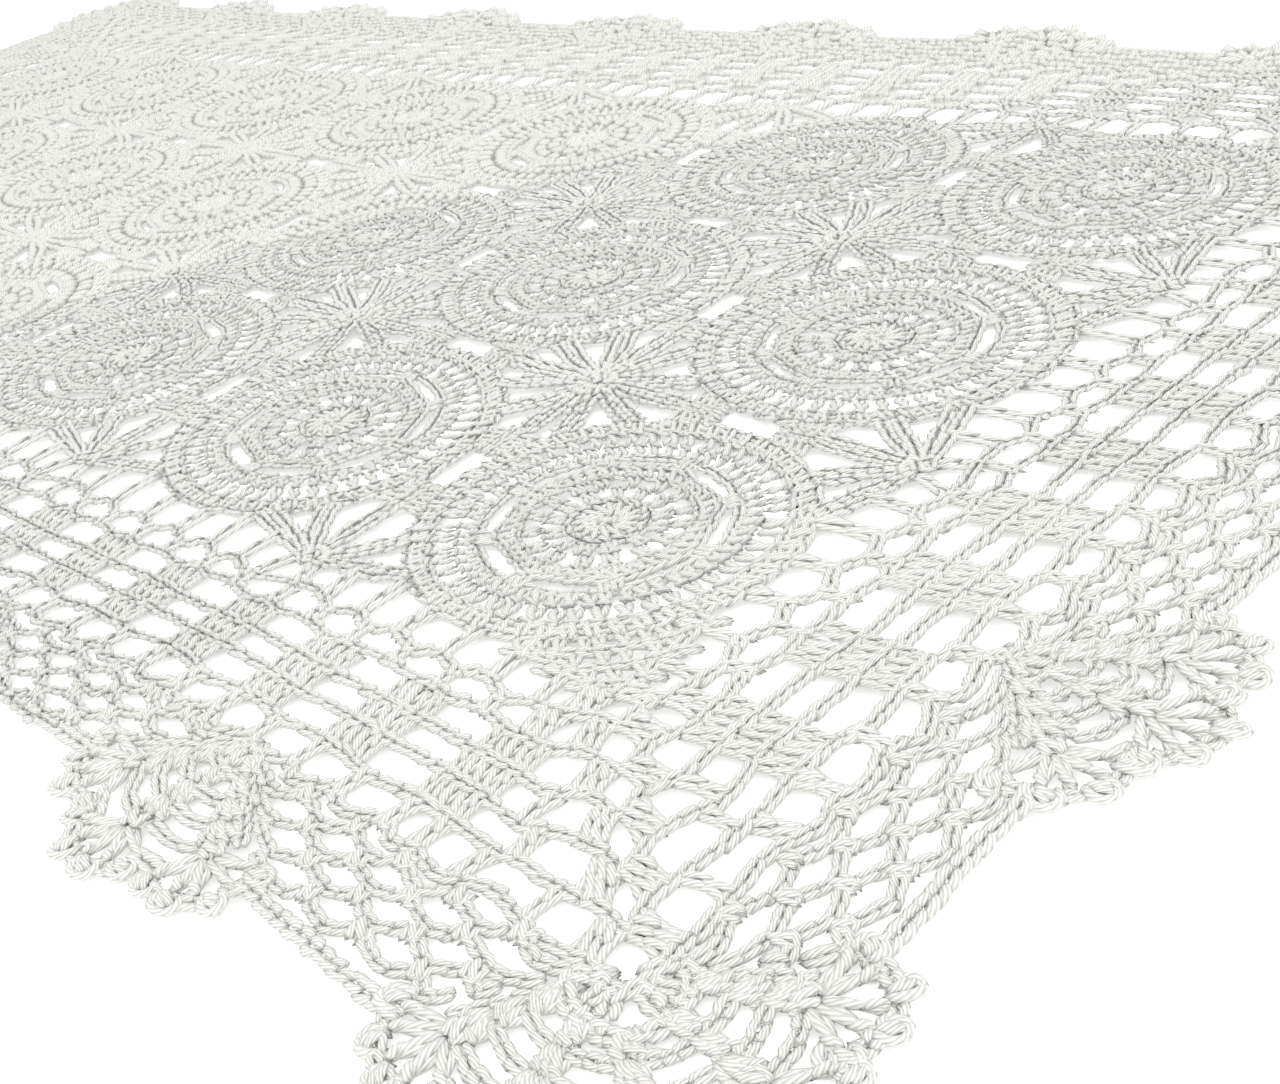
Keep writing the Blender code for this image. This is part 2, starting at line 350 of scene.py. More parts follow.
def worked(name, lace):
    # the piece's mesh: every stitch from its kind's templates, a plainer one farther from the view
    corners, triangles, marks, tones = [], [], [], []
    total = 0
    for kind, rows in lace.rows.items():
        if not rows:
            continue
        start, sizes, away = frames(kind, np.vstack(rows))
        level = np.searchsorted([reach for reach, *_ in yarn["levels"]], away)
        for number, templates in enumerate(kinds[kind]):
            picked = random.integers(0, len(templates), len(away))
            for which, (spots, faces, turned) in enumerate(templates):
                these = np.flatnonzero((level == number) & (picked == which))
                placed = start[these, None, :] + np.einsum("vk,nkj->nvj", spots, sizes[these])
                shifts = total + len(spots) * np.arange(len(these))
                corners.append(placed.reshape(-1, 3))
                triangles.append((faces[None] + shifts[:, None, None]).reshape(-1, 3))
                marks.append(np.tile(turned, (len(these), 1)))
                tones.append(np.repeat(random.uniform(0, 1, len(these)), len(spots)))
                total += len(spots) * len(these)
    corners, triangles, marks = np.vstack(corners), np.vstack(triangles), np.vstack(marks)
    mesh = bpy.data.meshes.new(name)
    mesh.vertices.add(len(corners))
    mesh.vertices.foreach_set("co", corners.astype(np.float32).ravel())
    mesh.loops.add(triangles.size)
    mesh.loops.foreach_set("vertex_index", triangles.astype(np.int32).ravel())
    mesh.polygons.add(len(triangles))
    mesh.polygons.foreach_set("loop_start", np.arange(0, triangles.size, 3, dtype=np.int32))
    mesh.update(calc_edges=True)
    mesh.shade_smooth()
    for mark, form, field, values in (
        ("plies", "FLOAT_VECTOR", "vector", marks[:, :3]),
        ("crevice", "FLOAT", "value", marks[:, 3]),
        ("tone", "FLOAT", "value", np.concatenate(tones)),
    ):
        made = mesh.attributes.new(mark, form, "POINT")
        made.data.foreach_set(field, values.astype(np.float32).ravel())
    mesh.materials.append(cotton)
    piece = bpy.data.objects.new(name, mesh)
    bpy.context.scene.collection.objects.link(piece)
    return piece


class Wire:
    # a value in a material's node tree, so that sums are written as sums
    def __init__(self, tree, socket):
        self.tree = tree
        self.socket = socket

    def __add__(self, other):
        return self.tree.math("ADD", self, other)

    def __mul__(self, other):
        return self.tree.math("MULTIPLY", self, other)

    def __sub__(self, other):
        return self.tree.math("SUBTRACT", self, other)

    def __rsub__(self, other):
        return self.tree.math("SUBTRACT", other, self)

    __radd__ = __add__
    __rmul__ = __mul__

    def siblings(self):
        return [Wire(self.tree, socket) for socket in self.socket.node.outputs]


class Tree:
    def __init__(self, name):
        self.material = bpy.data.materials.new(name)
        self.material.use_nodes = True
        self.nodes = self.material.node_tree.nodes
        self.shader = self.nodes["Principled BSDF"]

    def node(self, kind, settings, values, output=0):
        # its settings come first, because some change which sockets it has
        made = self.nodes.new(kind)
        for setting, value in settings.items():
            setattr(made, setting, value)
        self.feed(made, values)
        return Wire(self, made.outputs[output])

    def feed(self, made, values):
        for socket, value in values.items():
            if isinstance(value, Wire):
                self.material.node_tree.links.new(value.socket, made.inputs[socket])
            else:
                made.inputs[socket].default_value = value

    def math(self, operation, *values):
        return self.node("ShaderNodeMath", {"operation": operation}, dict(enumerate(values)))

    def attribute(self, name, output="Fac"):
        return self.node("ShaderNodeAttribute", {"attribute_name": name}, {}, output)

    def noise(self, scale, detail):
        place = self.node("ShaderNodeTexCoord", {}, {}, "Object")
        return self.node("ShaderNodeTexNoise", {}, {"Vector": place, "Scale": scale, "Detail": detail}, "Fac")

    def mixed(self, share, first, second):
        # a colour mix, whose sockets with the same names are told apart by number
        return self.node("ShaderNodeMix", {"data_type": "RGBA"}, {0: share, 6: first, 7: second}, 2)


cottonLook = {
    "light": (0.735, 0.73, 0.705, 1.0),
    "dull": (0.675, 0.675, 0.645, 1.0),
    # painted shade: the colour of the grooves between plies
    "plyShade": (0.45, 0.45, 0.425, 1.0),
    # painted shade: the colour that buried strand ends are darkened towards
    "crevice": (0.28, 0.28, 0.265, 1.0),
    "plyShadeShare": 0.8,
    "buriedShadeShare": 0.85,
    "plies": 6.0,
    "twist": 5.0,  # radians of twist to each millimetre of strand
    "fibres": (2600.0, 2.0),  # scale and detail of a noise
    "patches": (60.0, 3.0),
    "roughness": (0.7, 0.2),  # the least, and what fibres add
    "relief": 0.0001,
    "fibreRelief": 0.3,
}


def cottonMaterial():
    tree = Tree("white-cotton-yarn")
    around = tree.attribute("plies", "Vector")
    level, up, walked = tree.node("ShaderNodeSeparateXYZ", {}, {"Vector": around}).siblings()
    turn = tree.math("ARCTAN2", up, level)
    twisted = turn * (cottonLook["plies"] / 2) + walked * (cottonLook["twist"] / 2)
    ply = tree.math("ABSOLUTE", tree.math("COSINE", twisted))
    # painted shade: the colour is darker along the grooves between plies
    plyShadeMask = 1.0 - ply
    fibres = tree.noise(*cottonLook["fibres"])
    patches = tree.noise(*cottonLook["patches"])
    toned = tree.attribute("tone") * 0.5 + patches * 0.5  # half by the stitch, half in patches
    plain = tree.mixed(toned, cottonLook["light"], cottonLook["dull"])
    plyShaded = tree.mixed(plyShadeMask * cottonLook["plyShadeShare"], plain, cottonLook["plyShade"])
    # painted shade: darkens the colour where strands lie under their neighbours
    buriedShadeMask = tree.attribute("crevice") * cottonLook["buriedShadeShare"]
    height = ply + fibres * cottonLook["fibreRelief"]
    bump = tree.node("ShaderNodeBump", {}, {"Distance": cottonLook["relief"], "Height": height})
    smooth, rough = cottonLook["roughness"]
    look = {
        "Base Color": tree.mixed(buriedShadeMask, plyShaded, cottonLook["crevice"]),
        "Roughness": fibres * rough + smooth,
        "Metallic": 0.0,
        "Normal": bump,
    }
    tree.feed(tree.shader, look)
    return tree.material


cotton = cottonMaterial()


def polar(radius, turns, middle=(0.0, 0.0)):
    turns = np.radians(turns)
    return np.column_stack([middle[0] + radius * np.cos(turns), middle[1] + radius * np.sin(turns)])


def quartered(points, quarters):
    points = np.asarray(points, float)
    for _ in range(quarters % 4):
        points = np.column_stack([-points[:, 1], points[:, 0]])
    return points


def finished(name, lace, node):
    piece = worked(name, lace)
    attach(piece, "root")
    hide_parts(node)


# Medallions, worked in rounds from the middle. The posts of each round reach over the chain they stand on.
# Here and below, lifts are in millimetres and widths are shares of a stitch's own.
rimRadius = 0.452
medallion = {
    "rounds": (
        # groups, posts in each, foot radius, top radius, spread of feet and of tops in a group, width
        (16, 1, 0.010, 0.092, 0.0, 0.0, 1.05),
        (13, 2, 0.092, 0.148, 0.3, 0.70, 0.85),
        (16, 2, 0.144, 0.198, 0.25, 0.68, 0.88),
        (54, 1, 0.292, 0.346, 0.0, 0.0, 1.05),
        (48, 1, 0.346, 0.410, 0.0, 0.0, 1.12),
    ),
    "uneven": 22.0,  # degrees, shared out among a round's groups
    "lean": (12.0, 30.0),  # least and greatest, shared out in the same way
    "chains": (
        # radius, width
        (0.094, 0.75),
        (0.202, 0.8),
        (0.290, 0.9),
        (0.412, 0.9),
        (rimRadius, 1.0),
    ),
    "chainPoints": 65,
    "wave": 0.0022,
    "ring": 0.016,  # radius of the ring that the first round is worked into
    "ringTurns": np.array((0, 120, 240)),
    "postLift": 0.15,
    "chainLift": -0.15,
    "edgeLift": 0.1,
    "shells": 8,
    "shellPosts": 6,
    "shellLow": 0.192,
    "shellTop": 0.254,
    "shellLean": 2.0,
    "shellPoints": 97,  # twelve for each shell, and one to close
    "shellWidth": 0.85,
    "slits": (0.009, 0.027),  # least and greatest width that a slit adds
    "slitShape": 2.2,
    "ties": (0.250, 0.294),
    "tieTurns": np.array((-3.0, 0.0, 3.0)),
    "tieWidth": 0.8,
    "rimStubs": 56,
    "rimLow": 0.408,
    "rimTop": 0.453,
    "rimLean": 1.5,
    "seam": 0.484,
    "seamWidth": 0.9,
    "seamOver": 0.004,
    "tab": (0.095, 0.204),
    "tabPosts": 5,
    "tabInset": 0.010,
    "tabPast": (0.006, 0.010),  # how far the seam's chain runs past the tab at its two ends
}


def shellEdge(turns, slits):
    # the shells reach the next round at eight places and leave curved slits between
    places = np.asarray(turns) / 360 * medallion["shells"] % medallion["shells"]
    drawn = 1 - np.abs(2 * (places % 1) - 1) ** medallion["slitShape"]
    return medallion["shellTop"] - slits[places.astype(int)] * drawn


def medallionRounds(lace, start):
    for groups, each, low, top, close, wide, width in medallion["rounds"]:
        middles = np.arange(groups) * 360 / groups + start + random.uniform(0, 360)
        middles += random.normal(0, medallion["uneven"] / groups, groups)
        spread = (np.arange(each) - (each - 1) / 2) * 360 / groups / max(1, each - 1) / 2
        feet = (middles[:, None] + spread * close).ravel()
        tops = (middles[:, None] + spread * wide).ravel() + random.uniform(*medallion["lean"]) / groups
        lace.posts(polar(low, feet), polar(top, tops), width, medallion["postLift"])
    ring = start + medallion["ringTurns"]
    lace.single("chain", polar(medallion["ring"], ring), polar(medallion["ring"], ring + 120), 1.0)
    for radius, width in medallion["chains"]:
        turns = np.linspace(0, 360, medallion["chainPoints"]) + start
        wave = radius + random.normal(0, medallion["wave"], medallion["chainPoints"])
        wave[-1] = wave[0]
        lace.cord(polar(wave, turns), width, medallion["chainLift"])


def medallionShells(lace):
    shells = medallion["shells"]
    count = shells * medallion["shellPosts"]
    turns = np.arange(count) * 360 / count
    slits = random.uniform(*medallion["slits"], shells)
    tops = polar(shellEdge(turns, slits), turns + medallion["shellLean"])
    lace.posts(polar(medallion["shellLow"], turns), tops, 1.0, medallion["postLift"])
    around = np.linspace(0, 360, medallion["shellPoints"])
    lace.cord(polar(shellEdge(around, slits), around), medallion["shellWidth"], medallion["edgeLift"])
    ties = (np.arange(shells)[:, None] * 360 / shells + medallion["tieTurns"]).ravel()
    low, top = medallion["ties"]
    lace.single("chain", polar(low, ties), polar(top, ties), medallion["tieWidth"], medallion["edgeLift"])


def medallionTabs(lace, column, row):
    # two on each side that has a neighbour, each ending on a chain along the seam
    neighbours = (column < lastColumn, row < lastRow, column > 0, row > 0)
    low, high = medallion["tab"]
    inset, count, seam = medallion["tabInset"], medallion["tabPosts"], medallion["seam"]
    under, past = medallion["tabPast"]
    for quarter in np.flatnonzero(neighbours):
        for hand in (-1, 1):
            at = np.linspace(low + inset, high - inset, count)
            feet = np.column_stack([np.sqrt(rimRadius**2 - at**2), hand * at])
            tops = np.column_stack([np.full(count, seam + medallion["seamOver"]), hand * at])
            lace.posts(quartered(feet, quarter), quartered(tops, quarter), 1.0, medallion["edgeLift"])
            edge = [(seam, hand * along) for along in np.linspace(low - under, high + past, count)]
            lace.cord(quartered(edge, quarter), medallion["seamWidth"], medallion["edgeLift"])


def makeMedallion(column, row):
    lace = Lace(lambda points: np.asarray(points) + (column, row))
    start = random.uniform(0, 360)
    medallionRounds(lace, start)
    medallionShells(lace)
    rim = np.arange(medallion["rimStubs"]) * 360 / medallion["rimStubs"] + start
    tops = polar(medallion["rimTop"], rim + medallion["rimLean"])
    lace.single("chain", polar(medallion["rimLow"], rim), tops, 1.0, medallion["edgeLift"])
    medallionTabs(lace, column, row)
    name = f"medallion_{row}_{column}"
    finished(f"lace_{name}", lace, name)


# Stars, with two cords of chain stitch to each of their twelve arms
star = {
    "hub": 0.024,
    "arms": (
        # degrees, reach
        (0.0, 0.296),
        (27.0, 0.275),
        (63.0, 0.275),
    ),
    "sway": 1.5,
    "apart": 0.018,
    "armWidth": 1.2,
    "footShare": 0.3,  # of how far apart the two cords are at the top
    "middleShare": 0.95,
    "bow": 0.006,
    "lifts": ((-1, 0.0), (1, 0.2)),  # side of the arm, lift
    "ring": 0.020,
    "ringPoints": 9,
    "ringLift": 0.5,
}


def twinCord(lace, foot, top, apart, width):
    # two cords side by side, closer together at the foot
    foot, top = np.asarray(foot, float), np.asarray(top, float)
    way = (top - foot) / np.linalg.norm(top - foot)
    aside = np.array((-way[1], way[0]))
    bow = random.normal(0, star["bow"])
    for hand, lift in star["lifts"]:
        start = foot + aside * hand * apart * star["footShare"]
        middle = (foot + top) / 2 + aside * (hand * apart * star["middleShare"] + bow)
        lace.cord([start, middle, top + aside * hand * apart], width, lift)


def starRing(lace, middle):
    turns = np.linspace(0, 360, star["ringPoints"])
    lace.cord(polar(star["ring"], turns, middle), 1.0, star["ringLift"])


def makeStar(column, row):
    middle = np.array((column + 0.5, row + 0.5))
    lace = Lace(lambda points: np.asarray(points) + middle)
    for quarter in range(4):
        for turn, reach in star["arms"]:
            turned = np.full(2, turn + random.normal(0, star["sway"]))
            ends = quartered(polar(np.array((star["hub"], reach)), turned), quarter)
            twinCord(lace, ends[0], ends[1], star["apart"], star["armWidth"])
    starRing(lace, (0.0, 0.0))
    name = f"star_{row}_{column}"
    finished(f"lace_{name}", lace, name)


# Border. A place on a side is its way along the side from the first medallion and its distance out.
sides = (
    # corner, run, out, medallions
    ((0, 0), (1, 0), (0, -1), plan["columns"]),
    ((lastColumn, 0), (0, 1), (1, 0), plan["rows"]),
    ((lastColumn, lastRow), (-1, 0), (0, 1), plan["columns"]),
    ((0, lastRow), (0, -1), (-1, 0), plan["rows"]),
)
net = {
    "cell": 1 / 7,
    "lines": (0.573, 0.655, 0.737, 0.815, 0.893, 0.985),
    "lift": 0.1,
    "width": 0.98,
    "tug": 0.017,
    "unevenness": 0.006,
    "leastGap": 0.025,  # between two knots of a line
    "cornerFrom": (0.36, 0.43, 0.49, 0.49, 0.49, 0.49),
    "footRadius": 0.458,
    "feet": np.array((-1.5, -0.5, 0.5, 1.5)),  # in cells, on either side of a medallion's middle
    "starFeet": ((0.345, 0.425), (0.465, 0.478), (0.535, 0.478), (0.655, 0.425)),
    "starTops": np.array((0.335, 0.430, 0.570, 0.665)),
    "pillarWidth": 1.0,
    "pillarSway": 0.003,
    "rows": (
        # whether its posts stand in blocks, how far they are shifted, and their lean
        (False, 0.0, 0.0),
        (True, 0.0, 0.006),
        (True, 0.0, 0.006),
        (True, 0.0, 0.006),
        (False, 0.1, -0.012),
    ),
    "blockPosts": 5,
    "blockHalf": 0.056,
    "blockWidth": 1.15,
    "blockRim": 0.75,
    "endSlack": 0.01,
    "covered": 0.65,  # share of a side's rectangle inside its outline
}
# The fine net, of chain loops that are each caught on the middles of the row before, and the chain outside it
fine = {
    "loops": (1.030, 1.081, 1.132, 1.182),
    "loop": (-0.015, 0.006, 0.013),  # how far out a loop lies where it is caught, where it turns and between
    "bend": 0.30,
    "width": 0.86,
    "shake": 0.0025,
    "lifts": (-0.1, 0.2),
    "leastLoop": 0.035,
    "knot": (0.016, 0.018),
    "knotWidth": 0.95,
    "knotLift": 0.2,
    "cornerSlope": 0.88,
    "edge": 1.222,
    "edgeWidth": 1.15,
    "edgePoints": 9,
    "edgeShift": (-0.012, 0.006),
    "edgeShake": 0.003,
    "cornerRise": 0.020,
    "cornerEdge": 0.755,
}
fans = {
    "side": {
        "apex": 0.985,
        "rows": (0.030, 0.090, 0.150, 0.208, 0.262),
        "posts": (1, 2, 3, 4),
        "spread": (0.014, 0.026, 0.038, 0.050),
    },
    "corner": {
        "apex": 0.975,
        "rows": (0.108, 0.166, 0.222, 0.276),
        "posts": (3, 3, 4),
        "spread": (0.026, 0.032, 0.042),
        "ribs": ((-27.0, 0.270), (9.0, 0.285), (45.0, 0.290), (81.0, 0.285), (117.0, 0.270)),
        "cords": (-52.0, -6.0, 20.0, 70.0, 96.0, 142.0),  # degrees of those that part the cells at the apex
        "cellsEnd": (
            # degrees, how far out the cells end there
            (-52, 0.080),
            (-27, 0.100),
            (9, 0.112),
            (45, 0.130),
            (81, 0.112),
            (117, 0.100),
            (142, 0.080),
        ),
        "cordFrom": 0.026,
        "cordSway": 1.5,
        "cordWidth": 1.1,
    },
    "hub": 0.282,
    "halfPost": 0.012,
    "footBack": 0.008,
    "gathered": 0.2,  # how far feet spread, and outer tops fall back, to how far tops spread
    "sway": 0.003,
    "leafWidth": 0.92,
    "leafLift": 0.1,
    "edgeBack": 0.030,
    "edgeWidth": 0.85,
    "joinBow": 1.04,
    "joinWidth": 0.9,
    "hubKnot": (0.020, 0.016),
    "hubKnotWidth": 1.3,
    "hubKnotLift": 0.4,
    "lobe": (0.010, 0.110, 0.118),  # feet, tops and edge
    "lobePosts": np.linspace(-64, 64, 5),
    "lobeEdge": np.linspace(-66, 66, 11),
    "lobeSway": 3.0,
    "lobeWidth": 0.86,
    "lobeLift": 0.15,
    "picots": (-57.0, -19.0, 19.0, 57.0),
    "picot": (0.100, 0.149),
    "picotSway": 2.5,
    "picotReach": (-0.004, 0.003),
    "picotLift": 0.1,
    "notch": (0.040, 0.085),
    "notchWidth": 1.3,
    "notchLift": 0.2,
    "halfRib": 13.0,
    "edgeInto": 0.016,  # how far inside a lobe the chain outside the fine net ends
    "leans": (
        # each fan's lean, degrees between its ribs, and how much each rib outreaches the one before
        ((8, 36, 0.012), (-3, 38, 0.006), (4, 37, -0.010)),
        (
            (-5, 37, 0.008),
            (3, 36, -0.012),
            (5, 39, 0.004),
            (-2, 38, 0.010),
            (4, 36, -0.006),
            (-4, 37, 0.012),
            (1, 39, -0.008),
        ),
        ((3, 37, -0.008), (-4, 36, 0.010), (5, 38, 0.006)),
        (
            (2, 38, 0.006),
            (-3, 37, -0.010),
            (5, 36, 0.012),
            (-5, 38, 0.004),
            (4, 37, -0.008),
            (1, 36, 0.010),
            (0.5, 41, -0.027),
        ),
    ),
}


def onSide(side):
    corner, run, away, _ = side

    def place(points):
        points = np.asarray(points, float)
        return corner + points[:, :1] * np.array(run) + points[:, 1:] * np.array(away)

    return place


def tugged(level, inner, outer, loose, start, stop):
    # a line's knots: drawn in where the row before ends on it, out where the next starts, uneven at blocks
    tugs = [(at, -net["tug"]) for at in inner] + [(at, net["tug"]) for at in outer]
    tugs += [(at, 0.0) for at in loose]
    knots = [(start, level)]
    for at, tug in sorted(tugs):
        if at - knots[-1][0] > net["leastGap"] and at < stop - net["leastGap"]:
            knots.append((at, level + tug + random.uniform(-1, 1) * net["unevenness"]))
    return knots + [(stop, level)]


def pairs(along, low, top, lean):
    # feet and tops of posts between two lines
    feet = np.column_stack([along - lean / 2, np.full(len(along), low)])
    tops = np.column_stack([along + lean / 2, np.full(len(along), top)])
    return feet, tops + random.normal(0, net["pillarSway"], tops.shape) * (1, 0)


def beside(apex, turn, points):
    # places on a fan, from their way along a rib and across it
    cos, sin = math.cos(math.radians(turn)), math.sin(math.radians(turn))
    return apex + np.asarray(points, float) @ np.array(((cos, sin), (-sin, cos)))


def lobeLace(lace, hub, turn):
    # the end of a rib: posts that spread from one stitch, and picots along their tops
    near, far, edge = fans["lobe"]
    around = turn + fans["lobePosts"] + random.normal(0, fans["lobeSway"], len(fans["lobePosts"]))
    feet, tops = polar(near, around, hub), polar(far, around, hub)
    lace.single("leaf", feet, tops, fans["lobeWidth"], fans["lobeLift"])
    lace.cord(polar(edge, turn + fans["lobeEdge"], hub), 1.0, 0.0)
    low, high = fans["picot"]
    for swing in fans["picots"]:
        swing += turn + random.normal(0, fans["picotSway"])
        reach = np.array((low, high + random.uniform(*fans["picotReach"])))
        ends = polar(reach, np.full(2, swing), hub)
        lace.single("picot", ends[:1], ends[1:], 1.0, fans["picotLift"])


def ribsOf(number, k):
    # degrees and hub of each rib of the fan at place k on a side
    lean, apart, skew = fans["leans"][number][k]
    return [(90 + lean + hand * apart, fans["hub"] + hand * skew) for hand in (-1, 0, 1)]


def ribLace(lace, apex, fan, turn, hub):
    # a column of shells that ends in a lobe
    rows = np.array(fan["rows"]) * hub / fans["hub"]
    for low, top, spread, count in zip(rows, rows[1:], fan["spread"], fan["posts"]):
        across = (np.linspace(-1, 1, count) if count > 1 else np.zeros(1)) * (spread - fans["halfPost"])
        feet = np.column_stack([np.full(count, low - fans["footBack"]), fans["gathered"] * across])
        tops = np.column_stack([top - fans["gathered"] * np.abs(across), across])
        tops += random.normal(0, fans["sway"], (count, 2))
        ends = beside(apex, turn, feet), beside(apex, turn, tops)
        lace.single("leaf", *ends, fans["leafWidth"], fans["leafLift"])
    lobeLace(lace, beside(apex, turn, [(hub, 0)])[0], turn)
    back, out = fans["hubKnot"]
    ends = beside(apex, turn, [(hub - back, 0)]), beside(apex, turn, [(hub + out, 0)])
    lace.single("knot", *ends, fans["hubKnotWidth"], fans["hubKnotLift"])


def fanLace(lace, apex, fan, ribs):
    # a fan of ribs, each joined to the next one by a chain at each row and another between their lobes
    rows = list(zip(fan["rows"][1:], fan["spread"]))
    half = fans["halfPost"]
    for turn, hub in ribs:
        ribLace(lace, apex, fan, turn, hub)
    for (turn, hub), hand in ((ribs[0], -1), (ribs[-1], 1)):
        edge = [(fan["rows"][0] - fans["edgeBack"], hand * half)]
        edge += [(top * hub / fans["hub"], hand * spread) for top, spread in rows]
        lace.cord(beside(apex, turn, edge), fans["edgeWidth"], 0.0)
    for (turn, hub), (after, afterHub) in zip(ribs, ribs[1:]):
        for top, spread in rows:
            start = beside(apex, turn, [(top * hub / fans["hub"], spread - half)])[0]
            end = beside(apex, after, [(top * afterHub / fans["hub"], half - spread)])[0]
            middle = apex + ((start + end) / 2 - apex) * fans["joinBow"]
            lace.cord([start, middle, end], fans["joinWidth"], 0.0)
        away, aside = fans["notch"]
        start = beside(apex, turn, [(hub + away, aside)])[0]
        end = beside(apex, after, [(afterHub + away, -aside)])[0]
        lace.cord([start, (start + end) / 2, end], fans["notchWidth"], fans["notchLift"])


def fanSide(ribs, hand, level):
    # how far along from its apex a fan's side lies, at this distance out: hand is 1 on the side of the run
    turn = ribs[0][0] - fans["halfRib"] if hand > 0 else ribs[-1][0] + fans["halfRib"]
    return (level - fans["side"]["apex"]) / math.tan(math.radians(turn))


def fanEnd(ribs, hand):
    # how far along from its apex a fan's outer lobe reaches
    turn, hub = ribs[0] if hand > 0 else ribs[-1]
    return hub * math.cos(math.radians(turn)) + hand * (fans["lobe"][2] - fans["edgeInto"])


halfStars = {
    "hub": (0.5, 0.47),
    "rimAt": (39.0, 60.0),  # degrees on the medallions at which arms end
    "seamAt": 0.205,
    "apart": 0.017,
    "armWidth": 1.1,
}


def halfStar(lace, k):
    hub = np.array((k + halfStars["hub"][0], halfStars["hub"][1]))
    tops = [(k + 0.5, halfStars["seamAt"])]
    for turn in halfStars["rimAt"]:
        rim = polar(rimRadius, np.array([turn]))[0]
        tops += [(k + rim[0], rim[1]), (k + 1 - rim[0], rim[1])]
    for top in tops:
        way = np.array(top) - hub
        foot = hub + star["hub"] * way / np.linalg.norm(way)
        twinCord(lace, foot, top, halfStars["apart"], halfStars["armWidth"])
    starRing(lace, hub)


def sideRows(lace, last):
    # the rows of net and blocks that run along a side, between one corner and the next
    lines, cell = net["lines"], net["cell"]
    cells = round(last / cell)
    near, starTops = net["feet"] * cell, net["starTops"]
    for k in range(last + 1):
        feet = np.column_stack([k + near, np.sqrt(net["footRadius"] ** 2 - near**2)])
        lace.single("pillar", feet, np.column_stack([k + near, 0 * near + lines[0]]), net["pillarWidth"])
    for k in range(last):
        feet = [(k + at, out) for at, out in net["starFeet"]]
        lace.single("pillar", feet, [(k + at, lines[0]) for at in starTops], net["pillarWidth"])
    first = [k + at for k in range(last + 1) for at in near]
    first += [k + at for k in range(last) for at in starTops]
    even = np.arange(-4, cells + 5) * cell
    middles = np.arange(-3, cells + 4, 2) * cell
    blocks = (middles[:, None] + np.linspace(-1, 1, net["blockPosts"]) * net["blockHalf"]).ravel()
    rims = blocks[np.isin(np.arange(len(blocks)) % net["blockPosts"], (0, net["blockPosts"] - 1))]
    ends = [(-back, last + back) for back in net["cornerFrom"]]
    ties = []
    for k, (blocky, shift, lean) in enumerate(net["rows"]):
        at = blocks if blocky else even + shift
        low, high = ends[k + 1]
        at = at[(at > low - net["endSlack"]) & (at < high + net["endSlack"])]
        ties.append(() if blocky else at)
        if blocky:
            rim = np.isin(at, rims)
            lace.posts(*pairs(at[~rim], lines[k], lines[k + 1], lean), net["blockWidth"], net["lift"])
            lace.single("pillar", *pairs(at[rim], lines[k], lines[k + 1], lean), net["blockRim"])
        else:
            lace.single("pillar", *pairs(at, lines[k], lines[k + 1], lean), net["pillarWidth"])
    for k, (line, inner, outer) in enumerate(zip(lines, [first] + ties, ties + [even])):
        loose = rims if 0 < k < len(lines) - 1 else ()
        lace.cord(tugged(line, inner, outer, loose, *ends[k]), net["width"], net["lift"])


def netBounds(level, k, last, ribs):
    # where a row of the fine net starts and ends between fan k and the next one, at its distance out
    corner = fans["corner"]["apex"] - fine["cornerSlope"] * (level - fans["corner"]["apex"])
    start = k + fanSide(ribs[k], 1, level) if k >= 0 else -corner
    stop = k + 1 + fanSide(ribs[k + 1], -1, level) if k < last else last + corner
    return start, stop


def loopRow(lace, start, stop, level, shift):
    # one row of chain loops, and the knots that hold them to the row before
    cell, least = net["cell"], fine["leastLoop"]
    caught, turned, lowest = fine["loop"]
    at = (np.arange(math.ceil((start + least) / cell - shift), (stop - least) // cell + 1) + shift) * cell
    at = np.concatenate([[start], at[at < stop - least], [stop]])
    knots = []
    for low, high in zip(at, at[1:]):
        bend = fine["bend"] * (high - low)
        way = (low, low + bend, (low + high) / 2, high - bend)
        knots += [(x, level + y) for x, y in zip(way, (caught, turned, lowest, turned))]
    knots = np.array(knots + [(stop, level + caught)])
    knots[1:-1] += random.normal(0, fine["shake"], knots[1:-1].shape)
    lace.cord(knots, fine["width"], random.uniform(*fine["lifts"]))
    joins = np.column_stack([at[1:-1], np.full(len(at) - 2, level + caught)])
    back, out = fine["knot"]
    lace.single("knot", joins - (0, back), joins + (0, out), fine["knotWidth"], fine["knotLift"])


def fineNet(lace, last, ribs):
    # rows of loops between the fans, and the chain that runs from fan to fan outside them
    count, rise = fine["edgePoints"], fine["cornerRise"]
    for k in range(-1, last + 1):
        for j, level in enumerate(fine["loops"]):
            loopRow(lace, *netBounds(level, k, last, ribs), level, (j + 1) % 2 / 2)
        start = k + fanEnd(ribs[k], 1) if k >= 0 else -fine["cornerEdge"]
        stop = k + 1 + fanEnd(ribs[k + 1], -1) if k < last else last + fine["cornerEdge"]
        rises = np.linspace(rise if k < 0 else 0, rise if k == last else 0, count)
        level = fine["edge"] + random.uniform(*fine["edgeShift"]) + rises
        level = level + random.uniform(-fine["edgeShake"], fine["edgeShake"], count)
        lace.cord(np.column_stack([np.linspace(start, stop, count), level]), fine["edgeWidth"], net["lift"])


def makeSide(number, side):
    lace = Lace(onSide(side))
    last = side[3] - 1
    ribs = [ribsOf(number, k) for k in range(side[3])]
    sideRows(lace, last)
    fineNet(lace, last, ribs)
    for k in range(side[3]):
        fanLace(lace, np.array((k, fans["side"]["apex"])), fans["side"], ribs[k])
    for k in range(last):
        halfStar(lace, k)
    finished(f"lace_side_{number}", lace, "border")


